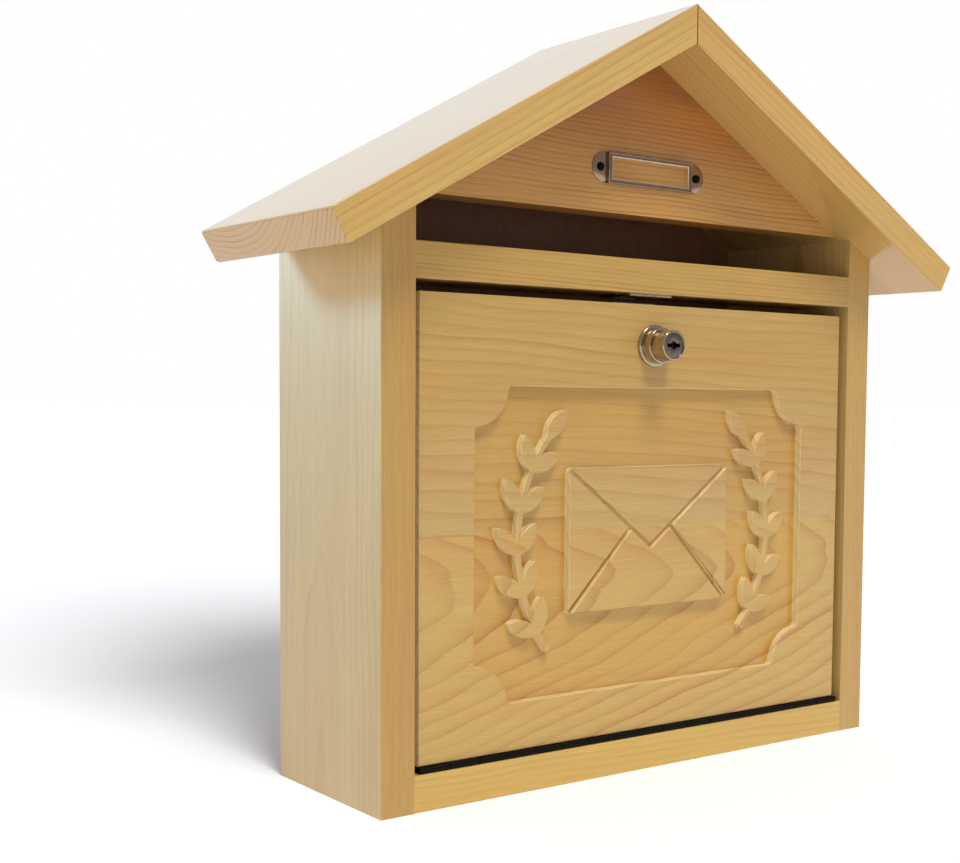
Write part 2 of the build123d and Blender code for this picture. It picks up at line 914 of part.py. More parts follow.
def lock_rivets():
    """Rivets from the door's back to a small head on the cover."""
    end = cover_y + cover_thickness
    shank = Pos(0, 0, (door_back - end) / 2) * Cylinder(rivet_radius, end - door_back)
    head = Pos(0, 0, rivet_head_height / 2) * Cylinder(rivet_head_radius, rivet_head_height)
    head = fillet(head.edges().sort_by(Axis.Z)[-1], rivet_head_height / 2)
    return group([Plane((x, end, z), z_dir=(0, 1, 0)) * (head + shank) for x, z in rivet_spots()])


def lock_screws():
    """Round-headed screws in the ears."""
    screw = domed_fastener(lock_screw, lock_screw_head) - cross_slot(lock_screw[0], lock_screw_head)
    return group([plane * screw for plane in lock_screw_planes()])


# Strike


def bolt_way(z0, z1):
    """Space for the bolt's nose between two heights."""
    reach = bolt_nose_width / 2 + strike_slot_room
    y0 = bolt_y - strike_slot_room
    y1 = bolt_y + bolt_thickness + strike_slot_room
    return block(-reach, reach, y0, y1, z0, z1)


def strike_plate():
    """Plate under the middle rail, as wide as the lock case."""
    low = rail_bottom - strike_thickness
    plate = block(
        -case_half, case_half, strike_front, strike_front + strike_depth, low, rail_bottom
    )
    plate -= bolt_way(low, rail_bottom)
    return plate - screw_seats(strike_screw_planes(), strike_screw)


# Card holder


def label_holder():
    """Pressed holder: a flat strip with round ends and a raised frame."""
    strip = Pos(0, holder_z) * SlotOverall(holder_length, holder_height)
    frame = Pos(0, holder_z) * Rectangle(frame_length, holder_height)
    window = Pos(0, holder_z) * Rectangle(
        frame_length - 2 * frame_end_bar, holder_height - 2 * frame_bar
    )
    raised = prism(frame, gable_front - frame_height, gable_front)
    raised = chamfer(raised.faces().sort_by(Axis.Y)[0].edges(), frame_chamfer)
    holder = prism(strip, gable_front - holder_sheet, gable_front) + raised
    holder -= prism(window, gable_front - frame_height, gable_front)
    return holder - shank_holes(holder_nail_planes(), holder_nail)


def label_holder_nails():
    """Round-headed nails."""
    nail = domed_fastener(holder_nail, holder_nail_head)
    return group([plane * nail for plane in holder_nail_planes()])


parts = {
    "side_panel_left": side_panel(-1),
    "side_panel_right": side_panel(1),
    "bottom_board": bottom_board(),
    "middle_rail": middle_rail(),
    "gable_panel": gable_panel(),
    "roof_board_left": roof_board_piece(-1),
    "roof_board_right": roof_board_piece(1),
    "back_panel": back_panel(),
    "back_panel_screws": flat_screws(back_screw_planes(), back_screw),
    "bottom_dowels": dowels(bottom_dowel_planes(), dowel_radius, dowel_length),
    "rail_dowels": dowels(rail_dowel_planes(), dowel_radius, dowel_length),
    "roof_dowels": dowels(roof_dowel_planes(), slim_dowel_radius, slim_dowel_length),
    "ridge_dowels": dowels(ridge_dowel_planes(), slim_dowel_radius, slim_dowel_length),
    "gable_dowels": dowels(gable_dowel_planes(), slim_dowel_radius, slim_dowel_length),
    "door_stop_left": door_stop(-1),
    "door_stop_right": door_stop(1),
    "door_stop_pins": door_stop_pins(),
    "hinge_leaf_lower": hinge_leaf(True),
    "hinge_leaf_upper": hinge_leaf(False),
    "hinge_pin": hinge_pin(),
    "hinge_screws_lower": flat_screws(lower_hinge_screw_planes(), hinge_screw),
    "hinge_screws_upper": flat_screws(upper_hinge_screw_planes(), hinge_screw),
    "door_board_upper": door_board_upper(),
    "door_board_lower": door_board_lower(),
    "door_dowels": dowels(door_dowel_planes(), slim_dowel_radius, door_dowel_length),
    "lock_rosette": lock_rosette(),
    "lock_collar": lock_collar(),
    "lock_cylinder": lock_cylinder(),
    "lock_plug": lock_plug(),
    "lock_wafers": lock_wafers(),
    "lock_driver": lock_driver(),
    "lock_bolt": lock_bolt(),
    "lock_case": lock_case(),
    "lock_cover": lock_cover(),
    "lock_rivets": lock_rivets(),
    "lock_screws": lock_screws(),
    "strike_plate": strike_plate(),
    "strike_screws": flat_screws(strike_screw_planes(), strike_screw),
    "label_holder": label_holder(),
    "label_holder_nails": label_holder_nails(),
}

os.makedirs("parts", exist_ok=True)
for name, shape in parts.items():
    export_step(shape, f"parts/{name}.step")
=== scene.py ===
from math import radians

import bmesh
import bpy
import numpy as np
from mathutils import Matrix, Vector


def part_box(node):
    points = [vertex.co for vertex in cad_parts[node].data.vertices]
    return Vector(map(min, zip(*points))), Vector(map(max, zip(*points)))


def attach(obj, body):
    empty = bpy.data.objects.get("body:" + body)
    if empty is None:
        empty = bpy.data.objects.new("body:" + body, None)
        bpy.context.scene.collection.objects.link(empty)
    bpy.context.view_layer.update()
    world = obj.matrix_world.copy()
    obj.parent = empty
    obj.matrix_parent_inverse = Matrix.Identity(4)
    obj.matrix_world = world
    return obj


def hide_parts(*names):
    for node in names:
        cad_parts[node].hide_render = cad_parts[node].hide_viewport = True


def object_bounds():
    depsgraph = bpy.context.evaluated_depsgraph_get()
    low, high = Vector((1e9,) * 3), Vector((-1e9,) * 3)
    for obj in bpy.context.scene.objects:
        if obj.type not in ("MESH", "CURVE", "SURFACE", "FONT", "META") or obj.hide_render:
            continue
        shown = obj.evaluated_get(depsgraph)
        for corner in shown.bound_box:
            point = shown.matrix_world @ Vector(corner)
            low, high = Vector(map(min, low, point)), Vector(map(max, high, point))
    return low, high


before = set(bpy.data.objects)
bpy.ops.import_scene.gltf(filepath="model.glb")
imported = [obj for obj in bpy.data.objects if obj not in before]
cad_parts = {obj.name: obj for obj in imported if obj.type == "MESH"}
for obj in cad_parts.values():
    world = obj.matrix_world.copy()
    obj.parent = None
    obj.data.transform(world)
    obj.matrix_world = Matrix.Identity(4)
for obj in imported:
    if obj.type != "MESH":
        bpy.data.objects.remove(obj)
cad_box = [list(corner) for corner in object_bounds()]

bl_info = {
    "name": "Wooden mailbox",
    "version": (1, 0, 0),
    "blender": (4, 5, 0),
    "location": "3D View > Sidebar > Mailbox",
    "description": "Finishes a pine mailbox: boards, carved door, lock, card holder and hinge",
    "category": "Object",
}

MM = 0.001
TINY = 1e-9


def paint(code):
    """Scene colour, with an alpha of 1, of a colour written as six hexadecimal digits."""
    levels = np.array([int(code[i:i + 2], 16) for i in (0, 2, 4)]) / 255
    linear = np.where(levels > 0.04045, ((levels + 0.055) / 1.055) ** 2.4, levels / 12.92)
    return (*linear.tolist(), 1.0)


def length(name, description, millimetres):
    """Property for a length."""
    return bpy.props.FloatProperty(
        name=name, description=description, default=millimetres * MM, min=0.0,
        subtype="DISTANCE", unit="LENGTH", precision=5,
    )


def share(name, description, value):
    """Property for a share from 0 to 1."""
    return bpy.props.FloatProperty(
        name=name, description=description, default=value, min=0.0, max=1.0, subtype="FACTOR"
    )


def degrees(name, description, value):
    """Property for an angle."""
    return bpy.props.FloatProperty(
        name=name, description=description, default=radians(value), subtype="ANGLE"
    )


def number(name, description, value, low=0.0, unit="NONE"):
    """Property for a plain number."""
    return bpy.props.FloatProperty(
        name=name, description=description, default=value, min=low, unit=unit
    )


def colour(name, description, code):
    """Property for a colour."""
    return bpy.props.FloatVectorProperty(
        name=name, description=description, default=paint(code), size=4, min=0.0, max=1.0,
        subtype="COLOR",
    )


# What a user would change


class MailboxWood(bpy.types.PropertyGroup):
    """Colours, lacquer and roundings of the boards."""

    early: colour("Early wood", "Pale wood between the lines", "bf984e")
    late: colour("Late wood", "Lines of the year rings", "b07430")
    end_grain: colour("End grain", "Tint of the wood where it is cut across", "c99e58")
    end_lines: colour("End lines", "Shade of the year rings in the end grain", "ceb491")
    routed: colour("Routed wood", "Tint of the floor of the carving", "fff7d2")
    # Paler cut wood on the carved walls and their ring lines, brightened further as a painted
    # highlight.
    wall_tone_and_highlight: colour("Carved walls", "Paler wood on the walls of the carving", "f4dca6")
    wall_lines_and_highlight: colour("Wall lines", "Shade of the year rings on these walls", "ece2d2")
    heart: colour("Heartwood", "Warmer wood in broad bands", "bc7830")
    # Painted sheen: a paler, greyer colour on the broad faces of the side panels, laid over the
    # wood's own tone.
    face: colour("Planed face", "Wood on the broad faces of the side panels", "ccae6b")
    # Wood tone with a painted sheen: a greyer colour on the upper faces of the roof.
    roof_wood_and_sheen: colour("Roof face", "Wood on the upper faces of the roof", "c6ad7e")
    glue: colour("Glue", "Shade of the joint at the ridge", "86624a")
    joint: length("Joint", "Half the width of the joint at the ridge", 0.5)
    plywood: colour("Plywood", "Face of the back panel", "8a5a38")
    beech: colour("Beech", "Dowels", "c69a6b")
    gloss: share("Wood roughness", "Roughness of the wood under the lacquer", 0.45)
    lacquer: share("Lacquer roughness", "Roughness of the lacquer", 0.16)
    side_lacquer: share("Side lacquer roughness", "Roughness of the side panels' lacquer", 0.4)
    relief: length("Grain relief", "Height of the lines under the lacquer", 0.05)
    carved_edge: length("Carved edge", "Rounding of the carved edges", 0.45)
    arris: length("Arris", "Rounding of the boards' long edges", 0.8)
    roof_edge: length("Roof's rear edge", "Rounding of the rear edges of the roof", 1.6)


class MailboxMetal(bpy.types.PropertyGroup):
    """Colours and roundings of the fittings."""

    nickel: colour("Nickel", "Lock and strike plate", "b8a78c")
    plug: colour("Plug face", "Duller face of the plug", "7d7268")
    steel: colour("Zinc steel", "Lock case, bolt and screws", "a9a7a0")
    black: colour("Black steel", "Hinge and nails", "0a0706")
    brass: colour("Brass", "Wafers of the lock", "c29a4b")
    # Nickel with a pinkish-brown tint that is a painted reflection of the surrounding wood.
    holder: colour("Holder nickel", "Card holder", "a88e78")
    # Painted highlight: a near-white colour on the inner lip of the card holder's frame.
    lip: colour("Bright lip", "Inner lip of the card holder", "fff4e0")
    edge: length("Metal edge", "Rounding of the fittings' edges", 0.2)


class MailboxStudio(bpy.types.PropertyGroup):
    """Camera and lights."""

    eye: bpy.props.FloatVectorProperty(
        name="Eye", description="Place of the camera", size=3, subtype="TRANSLATION",
        unit="LENGTH", default=(-559.2 * MM, -703.9 * MM, 218.3 * MM),
    )
    heading: degrees("Heading", "Direction of view, from the back towards the right", 38.71)
    dip: degrees("Dip", "Direction of view, below the level", 3.71)
    roll: degrees("Roll", "Turn about the line of sight", 0.62)
    lens: number("Lens", "Focal length in millimetres on a 36 mm sensor", 55.21, low=1.0)
    shift: bpy.props.FloatVectorProperty(
        name="Shift", description="Camera shift, as shares of the frame's width", size=2,
        default=(-0.1262, 0.0621),
    )
    daylight: number("Daylight", "Strength of the light from all round", 0.42)
    front_share: share("Front share", "Brightness of the room in front in reflections", 0.35)
    lamp_turn: degrees("Lamp turn", "Turn of both high lamps, from the front to the left", 8.0)
    key_strength: number("Key strength", "Strength of the lamp on the mailbox", 1.95)
    key_height: degrees("Key height", "Height of the lamp on the mailbox", 60.0)
    key_spread: degrees("Key spread", "Width of the lamp on the mailbox", 20.0)
    floor_strength: number("Floor strength", "Strength of the lamp on the floor", 3.4)
    floor_height: degrees("Floor height", "Height of the lamp on the floor", 32.0)
    floor_spread: degrees("Floor spread", "Width of the lamp on the floor", 28.0)
    side_power: number("Side power", "Power of the sheen lamp", 66.0, unit="POWER")
    side_size: length("Side size", "Width and height of the sheen lamp", 400.0)
    side_place: bpy.props.FloatVectorProperty(
        name="Side place", description="Place of the sheen lamp, at the back on the left",
        size=3, subtype="TRANSLATION", unit="LENGTH", default=(-0.95, 1.2, 0.95),
    )
    side_colour: bpy.props.FloatVectorProperty(
        name="Side colour", description="Cool colour of the sheen lamp", size=3, min=0.0,
        max=1.0, subtype="COLOR", default=(0.58, 0.92, 1.0),
    )
    floor_gain: bpy.props.FloatVectorProperty(
        name="Floor gain", description="Brightness of the lit floor, cooler than the light to "
        "make up for the glow of the wood", size=3, min=0.0, default=(1.05, 1.06, 1.085),
    )


# Shader helpers


class Wiring:
    """One node tree, with short calls that add a node and link its inputs."""

    def __init__(self, tree):
        self.tree = tree

    def add(self, kind, feeds=None, **settings):
        """New node with its settings; feeds holds values or sockets by input."""
        made = self.tree.nodes.new("ShaderNode" + kind)
        for name, value in settings.items():
            setattr(made, name, value)
        for name, value in (feeds or {}).items():
            if isinstance(value, bpy.types.NodeSocket):
                self.tree.links.new(value, made.inputs[name])
            else:
                made.inputs[name].default_value = value
        return made

    def math(self, operation, *values):
        """One step of arithmetic."""
        return self.add("Math", dict(enumerate(values)), operation=operation).outputs[0]

    def step(self, value, low, high, start=0.0, end=1.0):
        """Smooth climb from start to end while the value goes from low to high."""
        feeds = {0: value, 1: low, 2: high, 3: start, 4: end}
        return self.add("MapRange", feeds, interpolation_type="SMOOTHSTEP").outputs[0]

    def mix(self, amount, first, second, blend="MIX"):
        """Second colour laid over the first by an amount."""
        made = self.add("Mix", data_type="RGBA", blend_type=blend)
        for place, value in ((0, amount), (6, first), (7, second)):
            if isinstance(value, bpy.types.NodeSocket):
                self.tree.links.new(value, made.inputs[place])
            else:
                made.inputs[place].default_value = value
        return made.outputs[2]

    def vector(self, operation, first, second):
        """One step of arithmetic with two vectors."""
        return self.add("VectorMath", {0: first, 1: second}, operation=operation).outputs[0]

    def scaled(self, vector, factor):
        """Vector or colour times a number."""
        feeds = {0: vector, "Scale": factor}
        return self.add("VectorMath", feeds, operation="SCALE").outputs[0]

    def split(self, vector):
        """The three parts of a vector."""
        return self.add("SeparateXYZ", {0: vector}).outputs

    def millimetres(self):
        """Place on the object in millimetres."""
        return self.scaled(self.add("TexCoord").outputs["Object"], 1 / MM)

    def noise(self, vector, factors, detail=1.0, roughness=0.5):
        """Noise node on a stretched vector; the factors are per millimetre."""
        feeds = {
            "Vector": self.vector("MULTIPLY", vector, factors), "Scale": 1.0,
            "Detail": detail, "Roughness": roughness,
        }
        return self.add("TexNoise", feeds)

    def bump(self, height, strength, distance):
        """Normal that follows a height."""
        feeds = {"Height": height, "Strength": strength, "Distance": distance}
        return self.add("Bump", feeds).outputs[0]


def emptied(holder):
    """Wiring on the emptied node tree of a material or a world."""
    holder.use_nodes = True
    holder.node_tree.nodes.clear()
    return Wiring(holder.node_tree)


def new_material(name):
    """New material with its wiring and its surface shader."""
    made = bpy.data.materials.new(name)
    w = emptied(made)
    shader = w.add("BsdfPrincipled")
    w.add("OutputMaterial", {"Surface": shader.outputs[0]})
    return made, w, shader


def feed(w, shader, **values):
    """Links or sets inputs of a shader or a group; underscores stand for spaces."""
    for name, value in values.items():
        socket = shader.inputs[name.replace("_", " ")]
        if isinstance(value, bpy.types.NodeSocket):
            w.tree.links.new(value, socket)
        else:
            socket.default_value = value


def seen(w):
    """1 for a ray from the camera, a mirror or a glass, and 0 for the light's own rays."""
    rays = w.add("LightPath").outputs
    pair = w.math("MAXIMUM", rays["Is Camera Ray"], rays["Is Glossy Ray"])
    return w.math("MAXIMUM", pair, rays["Is Transmission Ray"])


# Wood


def pine_figure():
    """Node group for solid pine. X runs along the grain and the heart line is the X axis.

    A ring's number is the distance from the heart line, bent by slow noise, plus a taper
    along the grain, over the ring width. Late wood is a high power of the place in the ring,
    so it is a thin line with a soft inner and a sharp outer side. Sink, from 0 to 1, is for
    cut wood that took more lacquer."""
    name = "Pine figure"
    if name in bpy.data.node_groups:
        return bpy.data.node_groups[name]
    tree = bpy.data.node_groups.new(name, "ShaderNodeTree")
    new_socket = tree.interface.new_socket
    numbers = ("Across", "Ring", "Taper", "Wave", "Feather", "Line", "Bands", "Seed", "Sink")
    sockets = (
        ("INPUT", "Vector", ("Place",)), ("INPUT", "Float", numbers),
        ("INPUT", "Color", ("Early", "Late", "Heart", "End", "End lines", "Routed")),
        ("OUTPUT", "Color", ("Color",)), ("OUTPUT", "Float", ("Shine", "Height")),
    )
    for side, kind, labels in sockets:
        for label in labels:
            new_socket(name=label, in_out=side, socket_type="NodeSocket" + kind)

    w = Wiring(tree)
    given = tree.nodes.new("NodeGroupInput").outputs
    place = w.scaled(given["Place"], 1 / MM)
    offset = w.add("CombineXYZ", {axis: given["Seed"] for axis in range(3)}).outputs[0]
    free = w.vector("ADD", place, w.scaled(offset, 137.0))

    bend = w.noise(free, (0.003, 0.012, 0.012)).outputs["Color"]
    centred = w.vector("SUBTRACT", bend, (0.5, 0.5, 0.5))
    swing = w.scaled(centred, w.math("MULTIPLY", given["Wave"], 2.0))
    parts = w.split(w.vector("ADD", place, swing))
    flat = w.add("CombineXYZ", {1: parts[1], 2: parts[2]}).outputs[0]
    radius = w.add("VectorMath", {0: flat}, operation="LENGTH").outputs["Value"]
    ripple = w.noise(free, (0.012, 0.05, 0.05)).outputs[0]
    jag = w.noise(free, (0.05, 0.7, 0.7), detail=2.0).outputs[0]
    radius = w.math("MULTIPLY_ADD", parts[0], given["Taper"], radius)
    radius = w.math("MULTIPLY_ADD", w.math("SUBTRACT", ripple, 0.5), given["Wave"], radius)
    radius = w.math("MULTIPLY_ADD", w.math("SUBTRACT", jag, 0.5), given["Feather"], radius)
    rings = w.math("DIVIDE", radius, given["Ring"])
    count = w.math("MULTIPLY_ADD", given["Seed"], 7.3, rings)
    whole = w.math("FLOOR", count)
    part = w.math("FRACT", count)
    chance = w.add("TexWhiteNoise", {"W": whole}, noise_dimensions="1D").outputs["Value"]
    other = w.add("TexWhiteNoise", {"W": w.math("ADD", whole, 0.5)}, noise_dimensions="1D")
    thin = w.math("POWER", part, w.math("MULTIPLY_ADD", chance, 5.0, 3.5))
    broad = w.math("POWER", part, 2.0)
    climb = w.math("MULTIPLY_ADD", thin, 0.7, w.math("MULTIPLY", broad, 0.3))
    drop = w.step(part, 0.96, 1.0, 1.0, 0.0)
    strength = w.math("MULTIPLY_ADD", other.outputs["Value"], 0.7, 0.3)
    patch = w.noise(free, (0.006, 0.03, 0.03), detail=2.0).outputs[0]
    patchy = w.step(patch, 0.3, 0.7, 0.55, 1.25)
    late = w.math("MULTIPLY", climb, drop)
    late = w.math("MULTIPLY", late, w.math("MULTIPLY", strength, patchy))

    fibre = w.noise(free, (0.02, 0.9, 0.9), detail=4.0, roughness=0.75).outputs[0]
    thread = w.noise(free, (0.12, 3.0, 3.0), detail=1.0).outputs[0]
    canal = w.step(w.noise(free, (0.2, 2.0, 2.0)).outputs[0], 0.67, 0.78)
    band = w.step(w.noise(free, (0.004, 0.035, 0.035)).outputs[0], 0.42, 0.72)

    base = w.mix(w.math("MULTIPLY", band, given["Bands"]), given["Early"], given["Heart"])
    base = w.mix(given["Sink"], base, given["Routed"], "MULTIPLY")
    drawn = w.math("MULTIPLY", given["Line"], w.math("MULTIPLY_ADD", given["Sink"], 0.35, 1.0))
    lined = w.mix(w.math("MULTIPLY", late, drawn), base, given["Late"])
    tone = w.math("MULTIPLY_ADD", fibre, 0.4, 0.8)
    tone = w.math("MULTIPLY", tone, w.math("MULTIPLY_ADD", thread, 0.2, 0.9))
    tone = w.math("MULTIPLY", tone, w.math("MULTIPLY_ADD", canal, -0.12, 1.0))
    cut = w.step(given["Across"], 0.55, 0.9)
    rim = w.math("MINIMUM", w.math("MULTIPLY", late, 1.6), 1.0)
    ringed = w.mix(rim, given["End"], given["End lines"], "MULTIPLY")
    pores = w.noise(free, (0.5, 3.0, 3.0), detail=2.0).outputs[0]
    speckled = w.scaled(ringed, w.math("MULTIPLY_ADD", pores, 0.3, 0.85))
    final = w.mix(cut, w.scaled(lined, tone), speckled)

    shine = w.math("MULTIPLY", late, -0.05)
    shine = w.math("MULTIPLY_ADD", w.math("SUBTRACT", fibre, 0.5), 0.22, shine)
    height = w.math("MULTIPLY_ADD", fibre, 0.35, w.math("MULTIPLY", canal, -0.4))
    height = w.math("MULTIPLY_ADD", late, 0.5, height)
    out = tree.nodes.new("NodeGroupOutput")
    for label, value in (("Color", final), ("Shine", shine), ("Height", height)):
        tree.links.new(value, out.inputs[label])
    return tree


def pine(name, wood, grain, heart, ring=3.4, taper=0.012, wave=3.0, feather=0.35, line=0.55,
         bands=0.35, seed=0.0, early=None, late=None, end=None, painted_shade=None, face=None, cut=None,
         mitred=False, lacquer=None):
    """Pine for one board. grain turns X onto the board's grain, and heart is a point in
    millimetres on the tree's heart line. painted_shade gives two heights and the colour that the
    early wood takes between them: a painted shade, taken in full at the upper height. face gives
    an axis and the colour of the faces turned along it: both ways for X as 0 and Y as 1, upwards
    for Z as 2. cut gives three depths: these faces turn from planed to routed between the first
    two and are planed again behind the third. A mitred board has a dark joint at x = 0, and
    lacquer is the roughness of the lacquer."""
    made, w, shader = new_material(name)
    coordinates = w.add("TexCoord").outputs
    centred = {"Location": tuple(value * MM for value in heart)}
    place, facing = (
        w.add("Mapping", {"Vector": coordinates[label], "Rotation": grain, **centre},
              vector_type="TEXTURE").outputs[0]
        for label, centre in (("Object", centred), ("Normal", {}))
    )
    early, sink = early or wood.early, 0.0
    spot = w.split(coordinates["Object"])
    # Painted shade: the early wood darkens towards a shade colour between the two heights.
    if painted_shade:
        low, high, shade_tint = painted_shade
        early = w.mix(w.step(spot[2], low, high), early, shade_tint)
    if face:
        axis, tint = face
        normal = w.split(coordinates["Normal"])[axis]
        if axis < 2:
            normal = w.math("ABSOLUTE", normal)
        flat = w.step(normal, 0.5, 0.9)
        early = w.mix(flat, early, tint)
    if cut:
        depth = spot[1]
        start, full, stop = cut
        routed = w.math("MULTIPLY", w.step(depth, start, full), w.math("LESS_THAN", depth, stop))
        sink = w.math("MULTIPLY", routed, flat)
    across = w.math("ABSOLUTE", w.split(facing)[0])
    figure = w.tree.nodes.new("ShaderNodeGroup")
    figure.node_tree = pine_figure()
    feed(
        w, figure, Place=place, Across=across, Ring=ring, Taper=taper, Wave=wave,
        Feather=feather, Line=line, Bands=bands, Seed=seed, Sink=sink, Early=early,
        Late=late or wood.late, Heart=wood.heart, Routed=wood.routed,
        End=end or wood.end_grain, End_lines=wood.wall_lines_and_highlight if end else wood.end_lines,
    )
    hue = figure.outputs["Color"]
    if mitred:
        gap = w.step(w.math("ABSOLUTE", spot[0]), 0.5 * wood.joint, wood.joint, 1.0, 0.0)
        hue = w.mix(gap, hue, wood.glue, "MULTIPLY")
    feed(
        w, shader, Base_Color=hue,
        Roughness=w.math("ADD", figure.outputs["Shine"], wood.gloss),
        Normal=w.bump(figure.outputs["Height"], 1.0, wood.relief), IOR=1.5,
        Specular_IOR_Level=0.3, Coat_Weight=1.0, Coat_Roughness=lacquer or wood.lacquer,
    )
    return made


def plywood(wood):
    """Plywood: a plain upright figure on the faces, a darker ply in the middle of the edges."""
    made, w, shader = new_material("plywood")
    place = w.millimetres()
    wave = w.noise(place, (0.03, 0.03, 0.006), detail=2.0).outputs[0]
    lines = w.math("FRACT", w.math("MULTIPLY", wave, 14.0))
    soft = w.math("MULTIPLY", w.step(lines, 0.2, 0.9), w.step(lines, 0.93, 1.0, 1.0, 0.0))
    fibre = w.noise(place, (1.8, 1.8, 0.04), detail=3.0, roughness=0.65).outputs[0]
    dash = w.step(w.noise(place, (2.6, 2.6, 0.25)).outputs[0], 0.66, 0.76)
    front, back = (corner.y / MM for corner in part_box("back_panel"))
    depth = w.add("MapRange", {0: w.split(place)[1], 1: front, 2: back}).outputs[0]
    middle = w.math("LESS_THAN", w.math("ABSOLUTE", w.math("SUBTRACT", depth, 0.5)), 0.17)
    tone = w.math("MULTIPLY_ADD", fibre, 0.3, 0.84)
    tone = w.math("MULTIPLY", tone, w.math("MULTIPLY_ADD", soft, -0.1, 1.0))
    tone = w.math("MULTIPLY", tone, w.math("MULTIPLY_ADD", dash, -0.2, 1.0))
    tone = w.math("MULTIPLY", tone, w.math("MULTIPLY_ADD", middle, -0.35, 1.0))
    feed(
        w, shader, Base_Color=w.scaled(tuple(wood.plywood)[:3], tone),
        Normal=w.bump(fibre, 0.8, wood.relief),
        Roughness=w.math("MULTIPLY_ADD", fibre, 0.2, 0.42),
    )
    return made


def beech(wood):
    """Beech: fine fibres with short dark flecks."""
    made, w, shader = new_material("beech")
    place = w.millimetres()
    fibre = w.noise(place, (0.3, 2.0, 2.0), detail=3.0).outputs[0]
    fleck = w.step(w.noise(place, (0.9, 4.0, 4.0)).outputs[0], 0.62, 0.7)
    tone = w.math("MULTIPLY_ADD", fibre, 0.3, w.math("MULTIPLY_ADD", fleck, -0.2, 0.85))
    feed(
        w, shader, Base_Color=w.scaled(tuple(wood.beech)[:3], tone),
        Normal=w.bump(fibre, 0.5, wood.relief),
        Roughness=w.math("MULTIPLY_ADD", fibre, 0.2, 0.5),
    )
    return made


# Metal


def metal(name, base, roughness, grime=0.25, metallic=1.0, scratch=0.12, ior=1.5):
    """Metal with fine scratches, cloudy grime and a roughness that follows both; with metallic
    at 0, a paint whose gloss follows its index of refraction."""
    made, w, shader = new_material(name)
    place = w.millimetres()
    cloud = w.noise(place, (0.25, 0.25, 0.25), detail=4.0, roughness=0.6).outputs[0]
    line = w.noise(place, (0.6, 9.0, 9.0), detail=2.0).outputs[0]
    grain = w.noise(place, (6.0, 6.0, 6.0), detail=2.0).outputs[0]
    stain = w.step(cloud, 0.45, 0.75)
    tone = w.math("MULTIPLY_ADD", line, scratch, 1.0 - scratch / 2)
    tone = w.math("MULTIPLY_ADD", stain, -grime, tone)
    rough = w.math("MULTIPLY_ADD", grain, 0.12, roughness - 0.06)
    height = w.math("MULTIPLY_ADD", line, 0.6, w.math("MULTIPLY", grain, 0.4))
    feed(
        w, shader, Base_Color=w.scaled(tuple(base)[:3], tone),
        Roughness=w.math("MULTIPLY_ADD", stain, 0.12, rough),
        Normal=w.bump(height, 0.06, 0.01 * MM), Metallic=metallic, IOR=ior,
    )
    return made


# Meshes


def placed(name, data):
    """New object in the scene for a mesh, a lamp or a camera."""
    made = bpy.data.objects.new(name, data)
    bpy.context.scene.collection.objects.link(made)
    return made


def new_piece(name, mesh, material, body, slot, *nodes):
    """Object for a finished mesh, riding on its body in place of its nodes."""
    made = placed(name, mesh)
    mesh.materials.append(material)
    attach(made, body)
    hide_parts(*nodes)
    return made


def smooth(mesh, crease=35.0):
    """Smooth shading with sharp creases above an angle in degrees."""
    mesh.polygons.foreach_set("use_smooth", np.ones(len(mesh.polygons), bool))
    mesh.set_sharp_from_angle(angle=radians(crease))


def skin(name, rings, closed=True):
    """Mesh over rings of points that close round; closed also joins the last ring to the
    first, and otherwise both ends are capped. Turned so that the volume is positive."""
    count, sides, _ = rings.shape
    ids = np.arange(count * sides).reshape(count, sides)
    ids = np.append(ids, ids[:, :1], axis=1)
    if closed:
        ids = np.append(ids, ids[:1], axis=0)
    quads = np.stack((ids[:-1, :-1], ids[1:, :-1], ids[1:, 1:], ids[:-1, 1:]), axis=-1)
    quads = quads.reshape(-1, 4)
    points = rings.reshape(-1, 3)
    a, b, c, d = (points[quads[:, i]] for i in range(4))
    volume = np.einsum("ij,ij->", a, np.cross(b, c)) + np.einsum("ij,ij->", a, np.cross(c, d))
    caps = [] if closed else [ids[0, :-1][::-1], ids[-1, :-1]]
    faces = [face.tolist() for face in [*quads, *caps]]
    if volume < 0:
        faces = [face[::-1] for face in faces]
    mesh = bpy.data.meshes.new(name)
    mesh.from_pydata(points.tolist(), [], faces)
    smooth(mesh)
    return mesh


def rounded(corners, radii, steps=6):
    """Closed outline with rounded corners: each is the curve (1-t)^2 A + 2 t (1-t) P + t^2 B
    between the points A and B that lie a radius along the two sides from the corner P."""
    corner = np.array(corners, float)
    reach = np.broadcast_to(np.array(radii, float).reshape(-1, 1), (len(corner), 1))
    before = np.roll(corner, 1, axis=0) - corner
    after = np.roll(corner, -1, axis=0) - corner
    before /= np.linalg.norm(before, axis=1, keepdims=True)
    after /= np.linalg.norm(after, axis=1, keepdims=True)
    t = np.linspace(0, 1, steps).reshape(1, -1, 1)
    first = (corner + reach * before)[:, None]
    last = (corner + reach * after)[:, None]
    curve = (1 - t) ** 2 * first + 2 * t * (1 - t) * corner[:, None] + t**2 * last
    return curve.reshape(-1, 2)


def stations(angle, centre, rows):
    """Rings of points about the Y axis through the centre, from rows of y and a radius for
    each angle."""
    radius = np.array([np.broadcast_to(row[1], angle.shape) for row in rows])
    y = np.array([np.full(angle.shape, row[0]) for row in rows])
    x = centre.x + radius * np.cos(angle)
    z = centre.z + radius * np.sin(angle)
    return np.stack((x, y, z), axis=-1)


def turned(name, outline, centre, sides=128):
    """Ring turned about the Y axis through the centre from pairs of radius and y."""
    angle = np.linspace(0, 2 * np.pi, sides, endpoint=False)
    return skin(name, stations(angle, centre, outline[:, ::-1]))


def slot_radius(angle, half_width, half_height):
    """Distance from a rectangle's middle to its edge in each direction."""
    across, up = np.abs(np.cos(angle)), np.abs(np.sin(angle))
    return np.minimum(half_width / np.maximum(across, TINY), half_height / np.maximum(up, TINY))


